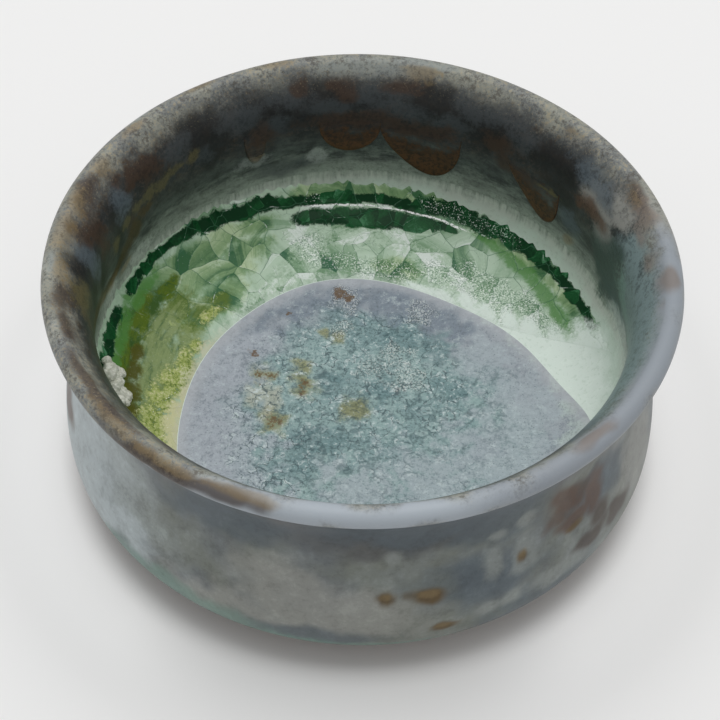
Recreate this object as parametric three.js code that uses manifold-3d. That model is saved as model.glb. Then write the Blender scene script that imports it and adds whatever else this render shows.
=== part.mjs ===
// Gongfu tea cup: low flared stoneware on a turned foot ring. A dark glaze coats the walls and a
// gritty one the lip, a white glaze lines the basin, a crystalline disc covers most of the floor
// and a crescent of green glass lies round the disc. Millimetres, +Z up, origin under the foot.

import * as THREE from "three";
import { mergeVertices } from "three/addons/utils/BufferGeometryUtils.js";
import Module from "manifold-3d";

const wasm = await Module();
wasm.setup();

const { degToRad } = THREE.MathUtils;

// Clay body, bare: each glazed face lies one coat further out
const cupHeight = 32;
const rimRadius = 37.5;
const lipThickness = 1.6;
const lipBand = 2.4;
const lipTilt = degToRad(36);
const neckDraw = 1.9;
const neckHeight = 24;
const neckWall = 1.8;
const bellyRadius = 36.7;
const turnRadius = 4.4;
const basinWall = 3;
const basinHeight = 15.2;
const floorHeight = 6.3;
const floorRadius = 25;
const floorDish = 0.8;
const footHeight = 3.6;
const footRadius = 22.5;
const footWidth = 3.6;
const footTaper = 0.8;
const recessHeight = 2.6;

// Coats of glaze: the outer one stops on the turn, at an angle below the belly
const coat = 0.5;
const glazeAngle = degToRad(52);

// Crystalline disc on the floor, off centre, with a margin of white left where it comes nearest the wall
const discShift = new THREE.Vector2(1.3, -6.4);
const discMargin = 2;
const discGap = 0.3;

// Glass crescent, from its right horn round the back of the cup to its left horn
const glassFrom = degToRad(8);
const glassTo = degToRad(245);
const glassHeight = 13.2;
const glassHeightLean = 1.6;
const glassDepth = 1.7;
const glassEdge = 0.3;
const glassToDisc = 1.2;
const glassHorn = 0.15;

// Iron runs on the inside wall: the usual size, and where each hangs, how far below the neck it starts
// and how long and wide it is, as shares of that size
const runLength = 7;
const runWidth = 6;
const runDepth = 0.7;
const runEdge = 0.25;
const runTop = 0.3;
const runDroop = 1.3;
const runs = [
  { angle: degToRad(117), start: -0.19, length: 0.8, width: 0.55 },
  { angle: degToRad(95), start: -0.07, length: 0.75, width: 1.05 },
  { angle: degToRad(76), start: 0.07, length: 1.1, width: 1.35 },
  { angle: degToRad(44), start: 0, length: 0.95, width: 0.9 },
];

// Gap between a fired-on piece and the coat under it
const seatGap = 0.2;

// Fineness of the round shapes
const turns = 48;
const curveSteps = 4;
const cornerSteps = 7;
const glassRows = 40;
const glassColumns = 9;
const runRows = 8;
const runColumns = 10;

// Share of a stretch of profile that each handle of its curve takes
const curveHandle = 0.4;

const up = new THREE.Vector2(0, 1);
const down = new THREE.Vector2(0, -1);
const inward = new THREE.Vector2(-1, 0);

// A smooth stretch of profile that leaves one point and reaches the next in given directions
function stretch(start, leaving, end, arriving, steps) {
  const handle = start.distanceTo(end) * curveHandle;
  const curve = new THREE.CubicBezierCurve(
    start,
    start.clone().addScaledVector(leaving, handle),
    end.clone().addScaledVector(arriving, -handle),
    end,
  );
  return curve.getPoints(steps);
}

function arc(centre, radius, from, to, steps) {
  return new THREE.EllipseCurve(centre.x, centre.y, radius, radius, from, to).getPoints(steps);
}

// Clay surface from the underside round the turn, up the wall, over the lip and down to the floor
const turnCentre = new THREE.Vector2(bellyRadius - turnRadius, footHeight + turnRadius);
const belly = new THREE.Vector2(bellyRadius, turnCentre.y);
const neck = new THREE.Vector2(bellyRadius - neckDraw, neckHeight);
const lipRadius = lipThickness / 2;
const lipCentre = new THREE.Vector2(rimRadius - lipRadius, cupHeight - lipRadius);
const lipRise = new THREE.Vector2(Math.sin(lipTilt), Math.cos(lipTilt));
const lipFall = lipRise.clone().negate();
const lipArc = arc(lipCentre, lipRadius, -lipTilt, Math.PI - lipTilt, curveSteps);
const outerRoot = lipArc[0].clone().addScaledVector(lipFall, lipBand);
const innerRoot = lipArc.at(-1).clone().addScaledVector(lipFall, lipBand);
const innerNeck = new THREE.Vector2(neck.x - neckWall, neckHeight);
const basin = new THREE.Vector2(bellyRadius - basinWall, basinHeight);
const floorEdge = new THREE.Vector2(floorRadius, floorHeight + floorDish);
const floorSlope = new THREE.Vector2(-floorRadius, -2 * floorDish).normalize();
const floorMiddle = new THREE.Vector2(0, floorHeight);

const shell = [];

// Adds a stretch to the surface and gives the place where it ends
function follow(points) {
  shell.push(...points.slice(shell.length ? 1 : 0));
  return shell.length - 1;
}

const glazeLine = follow(arc(turnCentre, turnRadius, -Math.PI / 2, -glazeAngle, curveSteps));
follow(arc(turnCentre, turnRadius, -glazeAngle, 0, curveSteps));
follow(stretch(belly, up, neck, up, curveSteps));
const bandStart = follow(stretch(neck, up, outerRoot, lipRise, curveSteps));
const crest = follow([outerRoot, ...lipArc.slice(0, curveSteps / 2 + 1)]);
const bandEnd = follow([...lipArc.slice(curveSteps / 2), innerRoot]);
const neckPlace = follow(stretch(innerRoot, lipFall, innerNeck, down, curveSteps));
const whiteLine = follow(stretch(innerNeck, down, basin, down, curveSteps));
follow(stretch(basin, down, floorEdge, floorSlope, cornerSteps));
const middle = follow(stretch(floorEdge, floorSlope, floorMiddle, inward, curveSteps));

// Direction away from the clay at each point of its surface
const away = shell.map((point, i) => {
  if (i === middle) {
    return up;
  }
  const tangent = shell[i + 1].clone().sub(shell[Math.max(i - 1, 0)]);
  return new THREE.Vector2(tangent.y, -tangent.x).normalize();
});
const glazed = shell.map((point, i) => point.clone().addScaledVector(away[i], coat));

function turned(profile) {
  return new THREE.LatheGeometry(profile, turns).rotateX(Math.PI / 2);
}

// One coat of glaze between two places on the surface
function coatBetween(from, to) {
  const face = glazed.slice(from, to + 1);
  const back = shell.slice(from, to + 1).reverse();
  return turned(to === middle ? [...back, ...face] : [...face, ...back, face[0]]);
}

function solid(geometry) {
  const bare = new THREE.BufferGeometry();
  bare.setAttribute("position", geometry.getAttribute("position"));
  bare.setIndex(geometry.index);
  const merged = mergeVertices(bare, 1e-3);
  const vertProperties = merged.getAttribute("position").array;
  const triVerts = new Uint32Array(merged.index.array);
  return new wasm.Manifold(new wasm.Mesh({ numProp: 3, vertProperties, triVerts }));
}

function geometryOf(body) {
  const mesh = body.getMesh();
  const geometry = new THREE.BufferGeometry();
  geometry.setAttribute("position", new THREE.BufferAttribute(mesh.vertProperties, 3));
  geometry.setIndex(new THREE.BufferAttribute(mesh.triVerts, 1));
  return geometry;
}

const discRadius = basin.x - discShift.length() - discMargin;

// Upright cylinder through the floor at the disc's place
function discCutter(radius) {
  const cutter = new THREE.CylinderGeometry(radius, radius, 2 * cupHeight, turns);
  return solid(cutter.rotateX(Math.PI / 2).translate(discShift.x, discShift.y, 0));
}

// Distance from the cup's axis to the disc's edge in a given direction
function discReach(angle) {
  const along = discShift.x * Math.cos(angle) + discShift.y * Math.sin(angle);
  const across = discShift.lengthSq() - along * along;
  return along + Math.sqrt(discRadius * discRadius - across);
}

// Distances along the inside of the glazed surface, counted from the lip's crest
const travelled = [0];
for (let i = crest + 1; i <= middle; i += 1) {
  travelled.push(travelled.at(-1) + glazed[i].distanceTo(glazed[i - 1]));
}

// Distance at which the inside has come down to a height, or in to a radius
function distanceTo(key, value) {
  const after = glazed.findIndex((point, i) => i > crest && point[key] < value);
  const [start, end] = [glazed[after - 1][key], glazed[after][key]];
  const share = (start - value) / (start - end);
  return THREE.MathUtils.lerp(travelled[after - 1 - crest], travelled[after - crest], share);
}

// Point on the inside of the glazed surface, raised from it by a height
function inside(distance, angle, height) {
  const after = travelled.findIndex((length, i) => i > 0 && length >= distance);
  const share = (distance - travelled[after - 1]) / (travelled[after] - travelled[after - 1]);
  const i = crest + after;
  const place = glazed[i - 1].clone().lerp(glazed[i], share);
  const lift = away[i - 1].clone().lerp(away[i], share).normalize();
  place.addScaledVector(lift, height);
  return new THREE.Vector3(place.x * Math.cos(angle), place.x * Math.sin(angle), place.y);
}

// Thin solid on the inside wall: rows go round the cup, columns go down its wall
function patch(rows, columns, pointAt) {
  const points = [];
  for (const raised of [false, true]) {
    for (let row = 0; row <= rows; row += 1) {
      for (let column = 0; column <= columns; column += 1) {
        points.push(pointAt(row / rows, column / columns, raised));
      }
    }
  }
  const at = (row, column) => row * (columns + 1) + column;
  const face = (rows + 1) * (columns + 1);
  const triangles = [];
  const quad = (a, b, c, d) => triangles.push(a, b, c, a, c, d);
  const wall = (a, b) => quad(a, b, b + face, a + face);
  for (let row = 0; row < rows; row += 1) {
    for (let column = 0; column < columns; column += 1) {
      const corners = [at(row, column), at(row + 1, column), at(row + 1, column + 1), at(row, column + 1)];
      quad(...corners.map((corner) => corner + face));
      quad(...corners.reverse());
    }
    wall(at(row, 0), at(row + 1, 0));
    wall(at(row + 1, columns), at(row, columns));
  }
  for (let column = 0; column < columns; column += 1) {
    wall(at(0, column + 1), at(0, column));
    wall(at(rows, column), at(rows, column + 1));
  }
  const geometry = new THREE.BufferGeometry().setFromPoints(points);
  geometry.setIndex(triangles);
  return geometry;
}

// The glass stands higher at the left, and narrows and thins towards both horns
function glassPoint(round, across, raised) {
  const angle = THREE.MathUtils.lerp(glassFrom, glassTo, round);
  const fullness = THREE.MathUtils.lerp(glassHorn, 1, Math.sqrt(Math.sin(Math.PI * round)));
  const top = distanceTo("y", glassHeight - glassHeightLean * Math.cos(angle));
  const foot = distanceTo("x", discReach(angle) + glassToDisc);
  const bulge = glassEdge + (glassDepth - glassEdge) * fullness * Math.sin(Math.PI * across);
  return inside(top + (foot - top) * fullness * across, angle, seatGap + (raised ? bulge : 0));
}

// A run starts narrow and swells to a round drop
function runPoint(run, round, across, raised) {
  const side = 2 * round - 1;
  const swell = THREE.MathUtils.lerp(runTop, 1, Math.sqrt(Math.sin(Math.PI * across ** runDroop)));
  const distance = travelled[neckPlace - crest] + runLength * (run.start + run.length * across);
  const angle = run.angle + (side * swell * runWidth * run.width) / (2 * innerNeck.x);
  const dome = (1 - side * side) * Math.sin(Math.PI * across);
  return inside(distance, angle, seatGap + (raised ? runEdge + (runDepth - runEdge) * dome : 0));
}

function named(name, geometry, color, roughness) {
  const material = new THREE.MeshStandardMaterial({ color, roughness, metalness: 0 });
  const mesh = new THREE.Mesh(geometry, material);
  mesh.name = name;
  return mesh;
}

const cup = new THREE.Group();

const underside = [
  new THREE.Vector2(0, recessHeight),
  new THREE.Vector2(footRadius - footWidth - footTaper, recessHeight),
  new THREE.Vector2(footRadius - footWidth, 0),
  new THREE.Vector2(footRadius, 0),
  new THREE.Vector2(footRadius + footTaper, footHeight),
];
cup.add(named("clay_body", turned([...underside, ...shell]), 0x6f5a48, 0.85));

cup.add(named("outer_glaze", coatBetween(glazeLine, bandStart), 0x6b7374, 0.4));
cup.add(named("rim_glaze", coatBetween(bandStart, bandEnd), 0x8d8778, 0.5));
cup.add(named("inner_glaze", coatBetween(bandEnd, whiteLine), 0x40464a, 0.35));

const basinCoat = solid(coatBetween(whiteLine, middle));
const whiteRing = basinCoat.subtract(discCutter(discRadius + discGap));
cup.add(named("white_glaze", geometryOf(whiteRing), 0xd9ded2, 0.2));
const disc = basinCoat.intersect(discCutter(discRadius));
cup.add(named("floor_glaze", geometryOf(disc), 0x8fa0a4, 0.3));

cup.add(named("glass_pool", patch(glassRows, glassColumns, glassPoint), 0x3f8f63, 0.05));

runs.forEach((run, i) => {
  const shape = patch(runRows, runColumns, (...place) => runPoint(run, ...place));
  cup.add(named(`iron_run_${i + 1}`, shape, 0x5a3a22, 0.35));
});

export default cup;
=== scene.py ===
# Gongfu tea cup: a stoneware body, the coats of glaze on it, a crescent of crackled green glass inside,
# and the runs and froth that the kiln left. In metres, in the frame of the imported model.

import math
import random
from bisect import bisect_left
from functools import lru_cache

import bpy
import numpy as np
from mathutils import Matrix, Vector, geometry, kdtree, noise


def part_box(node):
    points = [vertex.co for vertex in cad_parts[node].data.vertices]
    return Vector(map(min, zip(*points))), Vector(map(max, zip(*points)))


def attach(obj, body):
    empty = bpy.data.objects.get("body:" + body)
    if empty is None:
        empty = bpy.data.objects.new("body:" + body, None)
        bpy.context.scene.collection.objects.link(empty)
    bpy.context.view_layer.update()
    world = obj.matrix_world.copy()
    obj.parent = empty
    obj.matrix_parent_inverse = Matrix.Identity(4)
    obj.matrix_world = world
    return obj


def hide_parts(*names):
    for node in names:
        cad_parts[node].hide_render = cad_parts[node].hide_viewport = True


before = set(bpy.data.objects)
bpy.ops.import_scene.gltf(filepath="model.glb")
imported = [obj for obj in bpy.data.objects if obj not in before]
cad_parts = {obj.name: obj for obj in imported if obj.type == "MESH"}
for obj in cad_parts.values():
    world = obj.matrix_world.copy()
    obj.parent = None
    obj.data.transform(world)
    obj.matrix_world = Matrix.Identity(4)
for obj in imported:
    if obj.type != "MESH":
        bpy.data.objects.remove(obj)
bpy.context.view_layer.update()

# Clay body: brown stoneware thrown on a wheel, with a flared lip, a drawn-in neck and a round belly.
# The foot ring was trimmed when the clay was leather hard. It and the underside stay bare, with the
# rings of the trimming tool in them.
mm = 0.001
clay_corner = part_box("clay_body")[1]
cup_height = clay_corner.z
rim_radius = clay_corner.x
lip_radius = 0.8 * mm
lip_band = 2.4 * mm
lip_tilt = math.radians(36)
belly_radius = 36.7 * mm
neck_radius = belly_radius - 1.9 * mm
neck_height = 24 * mm
neck_wall = 1.8 * mm
turn_radius = 4.4 * mm
basin_radius = belly_radius - 3 * mm
basin_height = 15.2 * mm
floor_radius = 25 * mm
floor_height = 6.3 * mm
floor_dish = 0.8 * mm
foot_height = 3.6 * mm
foot_radius = 22.5 * mm
foot_width = 3.6 * mm
foot_taper = 0.8 * mm
foot_round = 0.5 * mm
recess_height = 2.6 * mm
trim_pitch = 1.3 * mm
trim_depth = 0.07 * mm
trim_points = 6
glaze_angle = math.radians(52)
curve_handle = 0.4
point_spacing = 0.45 * mm
steps_round = 360
out_of_round = 0.25 * mm
lip_uneven = 0.3 * mm
least_sink = 0.3
dent_depth = 0.08 * mm
dent_size = 9 * mm
dent_offset = Vector((0, 0, 7))
wave_size = 26 * mm
sharp_angle = math.radians(50)
clay_brown = (0.17, 0.105, 0.062, 1)
clay_dark = (0.085, 0.05, 0.03, 1)
clay_pale = (0.27, 0.19, 0.125, 1)


def at(radius, height):
    return Vector((radius, 0, height))


def towards(angle):
    return Vector((math.cos(angle), 0, math.sin(angle)))


def stretch(start, leaving, end, arriving):
    """Points of a smooth curve that leaves one place and reaches the next in given directions."""
    reach = (end - start).length
    handle = reach * curve_handle
    count = max(4, round(reach / point_spacing))
    return geometry.interpolate_bezier(
        start, start + leaving * handle, end - arriving * handle, end, count + 1
    )


def arc(centre, radius, first, last):
    count = max(6, round(radius * abs(last - first) / point_spacing))
    return [centre + towards(first + (last - first) * i / count) * radius for i in range(count + 1)]


shell = []
mark = {}


def follow(name, points):
    """Carry the clay's outline on, and remember the place where this stretch ends."""
    shell.extend(points[1:] if shell else points)
    mark[name] = len(shell) - 1


up = Vector((0, 0, 1))
inward = Vector((-1, 0, 0))
lip_rise = towards(math.pi / 2 - lip_tilt)
lip_centre = at(rim_radius - lip_radius, cup_height - lip_radius)
lip_middle = math.pi / 2 - lip_tilt
turn_centre = at(belly_radius - turn_radius, foot_height + turn_radius)
outer_root = lip_centre + towards(-lip_tilt) * lip_radius - lip_rise * lip_band
inner_root = lip_centre + towards(math.pi - lip_tilt) * lip_radius - lip_rise * lip_band
belly = at(belly_radius, turn_centre.z)
neck = at(neck_radius, neck_height)
inner_neck = at(neck_radius - neck_wall, neck_height)
basin = at(basin_radius, basin_height)
floor_edge = at(floor_radius, floor_height + floor_dish)
floor_slope = Vector((-floor_radius, 0, -2 * floor_dish)).normalized()

follow("glaze line", arc(turn_centre, turn_radius, -math.pi / 2, -glaze_angle))
follow("belly", arc(turn_centre, turn_radius, -glaze_angle, 0))
follow("neck", stretch(belly, up, neck, up))
follow("band start", stretch(neck, up, outer_root, lip_rise))
follow("crest", [outer_root, *arc(lip_centre, lip_radius, -lip_tilt, lip_middle)])
follow("band end", [*arc(lip_centre, lip_radius, lip_middle, math.pi - lip_tilt), inner_root])
follow("inner neck", stretch(inner_root, -lip_rise, inner_neck, -up))
follow("white line", stretch(inner_neck, -up, basin, -up))
follow("floor edge", stretch(basin, -up, floor_edge, floor_slope))
follow("middle", stretch(floor_edge, floor_slope, at(0, floor_height), inward))


def turned(name, outline):
    """Lay a ring of points along an outline and spin it round the wheel's axis."""
    bpy.ops.object.select_all(action="DESELECT")
    bpy.ops.mesh.primitive_circle_add(vertices=len(outline), radius=mm)
    piece = bpy.context.object
    piece.name = name
    for vertex, point in zip(piece.data.vertices, outline):
        vertex.co = point
    bpy.ops.object.mode_set(mode="EDIT")
    bpy.ops.mesh.select_all(action="SELECT")
    bpy.ops.mesh.spin(steps=steps_round, angle=2 * math.pi, center=(0, 0, 0), axis=(0, 0, 1))
    bpy.ops.mesh.select_all(action="SELECT")
    bpy.ops.mesh.remove_doubles(threshold=mm / 1000)
    bpy.ops.mesh.delete_loose()
    bpy.ops.mesh.select_all(action="SELECT")
    bpy.ops.mesh.normals_make_consistent(inside=False)
    bpy.ops.object.mode_set(mode="OBJECT")
    return piece


def by_hand(place):
    """Where a point of the true round form lies on the hand-made cup: never outside the true form."""
    rise = min(max(place.z / cup_height, 0), 1)
    wave = 0.5 + 0.5 * noise.noise(place / wave_size)
    dent = 0.5 + 0.5 * noise.noise(place / dent_size + dent_offset)
    pull = (out_of_round * wave + dent_depth * dent) * rise
    level = Vector((place.x, place.y, 0))
    sink = lip_uneven * (least_sink + (1 - least_sink) * wave) * rise**4
    return place - level.normalized() * min(pull, level.length) - up * sink


def made_by_hand(piece):
    for vertex in piece.data.vertices:
        vertex.co = by_hand(vertex.co)
    bpy.context.view_layer.objects.active = piece
    piece.select_set(True)
    bpy.ops.object.shade_smooth_by_angle(angle=sharp_angle)


class Field:
    """A shader socket that takes part in sums like a number, and adds any other node beside it."""

    def __init__(self, socket):
        self.socket = socket

    def node(self, kind, settings, inputs, result=0):
        """Add a node, make its settings, link or set its inputs and give one of its results."""
        tree = self.socket.id_data
        node = tree.nodes.new("ShaderNode" + kind)
        for name, value in settings.items():
            setattr(node, name, value)
        for name, value in inputs.items():
            if isinstance(value, Field):
                tree.links.new(value.socket, node.inputs[name])
            else:
                node.inputs[name].default_value = value
        return Field(node.outputs[result])

    def beside(self, result):
        """Another result of the node that this field comes from."""
        return Field(self.socket.node.outputs[result])

    def math(self, operation, first, second):
        return self.node("Math", {"operation": operation}, {0: first, 1: second})

    def __add__(self, other):
        return self.math("ADD", self, other)

    __radd__ = __add__

    def __sub__(self, other):
        return self.math("SUBTRACT", self, other)

    def __rsub__(self, other):
        return self.math("SUBTRACT", other, self)

    def __mul__(self, other):
        return self.math("MULTIPLY", self, other)

    __rmul__ = __mul__

    def most(self, other):
        return self.math("MAXIMUM", self, other)

    def between(self, low, high):
        """0 where this field is at the low value, 1 at the high one, and a smooth step between them."""
        inputs = {"Value": self, "From Min": low, "From Max": high}
        return self.node("MapRange", {"interpolation_type": "SMOOTHSTEP"}, inputs)

    def worn(self, wear, low, high):
        """A stroke whose edge a noise eats or spreads, with nothing where there is no stroke."""
        return (self + wear * self.between(0, 0.3)).between(low, high)

    def blend(self, under, over):
        """One colour where this field is 0 and another where it is 1."""
        return self.node("Mix", {"data_type": "RGBA"}, {0: self, 6: under, 7: over}, 2)

    def tint(self, amount, colour):
        """This colour multiplied by another one."""
        settings = {"data_type": "RGBA", "blend_type": "MULTIPLY"}
        return self.node("Mix", settings, {0: amount, 6: self, 7: colour}, 2)

    def stored(self, name, result="Fac"):
        return self.node("Attribute", {"attribute_name": name}, {}, result)

    def moved(self, shift):
        return self.node("VectorMath", {"operation": "ADD"}, {0: self, 1: shift})

    def stretched(self, scale):
        return self.node("VectorMath", {"operation": "MULTIPLY"}, {0: self, 1: scale})

    def clouds(self, size, detail=3, roughness=0.55, warp=0):
        """Noise about 0.5, with patches of about a given size."""
        inputs = {
            "Vector": self,
            "Scale": 1 / size,
            "Detail": detail,
            "Roughness": roughness,
            "Distortion": warp,
        }
        return self.node("TexNoise", {}, inputs)

    def cells(self, size, feature="F1", dimensions="3D", result="Distance"):
        settings = {"voronoi_dimensions": dimensions, "feature": feature}
        return self.node("TexVoronoi", settings, {"Vector": self, "Scale": 1 / size}, result)

    def bump(self, depth, strength=1):
        return self.node("Bump", {}, {"Height": self, "Distance": depth, "Strength": strength}, "Normal")

    def feed(self, shader, name):
        self.socket.id_data.links.new(self.socket, shader.inputs[name])


def finish(piece, name):
    """Give a piece a new material, and return its shader and the place on the piece as a field."""
    material = bpy.data.materials.new(name)
    material.use_nodes = True
    piece.data.materials.clear()
    piece.data.materials.append(material)
    nodes = material.node_tree.nodes
    return nodes["Principled BSDF"], Field(nodes.new("ShaderNodeTexCoord").outputs["Object"])


def trimmed(start, end):
    """A flat stretch with the shallow rings that a trimming tool leaves in it."""
    length = (end - start).length
    count = round(length / (trim_pitch / trim_points))
    points = []
    for i in range(count + 1):
        ring = (1 - math.cos(2 * math.pi * i / count * round(length / trim_pitch))) / 2
        points.append(start.lerp(end, i / count) + up * trim_depth * ring)
    return points


foot_inside = at(foot_radius - foot_width - foot_taper, recess_height)
foot_in = at(foot_radius - foot_width, 0)
foot_out = at(foot_radius, 0)
foot_root = at(foot_radius + foot_taper, foot_height)
in_slope = (foot_inside - foot_in).normalized()
out_slope = (foot_root - foot_out).normalized()
underside = [
    *trimmed(at(0, recess_height), foot_inside),
    *stretch(foot_in + in_slope * foot_round, -in_slope, foot_in - inward * foot_round, -inward),
    *stretch(foot_out + inward * foot_round, -inward, foot_out + out_slope * foot_round, out_slope),
    *trimmed(foot_root, shell[0])[:-1],
]
clay = turned("clay", underside + shell)
made_by_hand(clay)
shader, place = finish(clay, "bare stoneware")
mottle = place.clouds(6 * mm, 5)
grains = place.clouds(0.35 * mm, 2)
pits = place.cells(1.1 * mm)
colour = mottle.between(0.35, 0.68).blend(clay_brown, clay_pale)
colour = grains.between(0.56, 0.7).blend(colour, clay_dark)
colour = pits.between(0.22, 0.1).blend(colour, clay_dark)
colour.feed(shader, "Base Color")
(0.72 + 0.2 * mottle).feed(shader, "Roughness")
(grains * 0.5 + pits.between(0.05, 0.3)).bump(0.12 * mm, 0.8).feed(shader, "Normal")
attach(clay, "root")
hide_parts("clay_body")

# Outer coat: satin slate and sage glaze poured over the outside, which stops short of the foot.
# It carries rust, ochre and pale spots, and pools green along its lower edge. Shade is painted into
# its colour just under the lip, and a sheen on its left side.
coat = 0.5 * mm
slate = (0.146, 0.165, 0.176, 1)
# Colour of the shade painted on the outside just under the lip
under_lip_shade = (0.14, 0.146, 0.15, 1)
mist = (0.255, 0.283, 0.278, 1)
sage = (0.19, 0.207, 0.181, 1)
stone = (0.27, 0.28, 0.245, 1)
dove = (0.2, 0.215, 0.21, 1)
sand = (0.4, 0.335, 0.21, 1)
bark = (0.1, 0.075, 0.052, 1)
soot = (0.025, 0.026, 0.025, 1)
midnight = (0.042, 0.048, 0.048, 1)
cocoa = (0.04, 0.029, 0.02, 1)
smoke = (0.052, 0.058, 0.057, 1)
ash = (0.1, 0.122, 0.108, 1)
fog = (0.32, 0.37, 0.315, 1)
grain_shade = (0.55, 0.55, 0.55, 1)
grain_light = (1.35, 1.35, 1.35, 1)
wall_specular = 0.25
blot_size = 5 * mm
wall_looseness = 0.8
stray_reach = 3
dab_reach = 1.5

# Noise that has a direction starts from a seed, so that the strokes stray the same way in each run
stray_seed = 3
noise.seed_set(stray_seed)

# Where one zone of the wall gives way to the next: millimetres from the crest, minus is outside
under_lip_shade_zone = (-11, -5)
lip_zone = (-4.5, -1)
loose_zone = (-4, -0.5)
soot_zone = (1.6, 5.6)
grit_zone = (7, 2)
ash_zone = (10, 15)
fog_zone = (14.5, 20.2)

# Colour of each brush, of glaze or of painted shade and sheen, how soft the edge of its strokes is, and how
# well it covers
brushes = {
    "haze": ((0.2, 0.275, 0.278, 1), 0.5, 0.85),
    "drab": ((0.3, 0.305, 0.28, 1), 0.5, 0.8),
    "shadow": ((0.072, 0.072, 0.074, 1), 0.5, 0.75),
    # Lilac and lavender on the lip are partly its own colour and partly a painted sheen, at the front and
    # right
    "lilac": ((0.4, 0.445, 0.49, 1), 0.5, 0.95),
    "lavender_sheen": ((0.285, 0.315, 0.35, 1), 0.5, 0.95),
    # Painted sheen over the silver-blue glaze on the left side of the outside
    "silver_sheen": ((0.46, 0.52, 0.535, 1), 0.5, 0.95),
    "night": ((0.014, 0.0145, 0.014, 1), 0.45, 0.8),
    "dim": ((0.055, 0.066, 0.071, 1), 0.5, 0.65),
    "blue": ((0.088, 0.115, 0.134, 1), 0.45, 0.75),
    "pine": ((0.045, 0.078, 0.068, 1), 0.45, 0.85),
    "umber": ((0.05, 0.03, 0.019, 1), 0.45, 0.8),
    "teal": ((0.17, 0.28, 0.235, 1), 0.5, 0.7),
    "mauve": ((0.2, 0.165, 0.14, 1), 0.5, 0.75),
    "chalk": ((0.5, 0.56, 0.5, 1), 0.5, 0.8),
    "pale": ((0.27, 0.295, 0.28, 1), 0.5, 0.75),
    "rust": ((0.1, 0.052, 0.03, 1), 0.45, 0.8),
    "toffee": ((0.066, 0.042, 0.014, 1), 0.45, 0.9),
    "olive": ((0.11, 0.095, 0.04, 1), 0.45, 0.8),
    "amber": ((0.11, 0.07, 0.025, 1), 0.5, 0.95),
    "ochre": ((0.24, 0.175, 0.085, 1), 0.45, 0.5),
}

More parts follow.
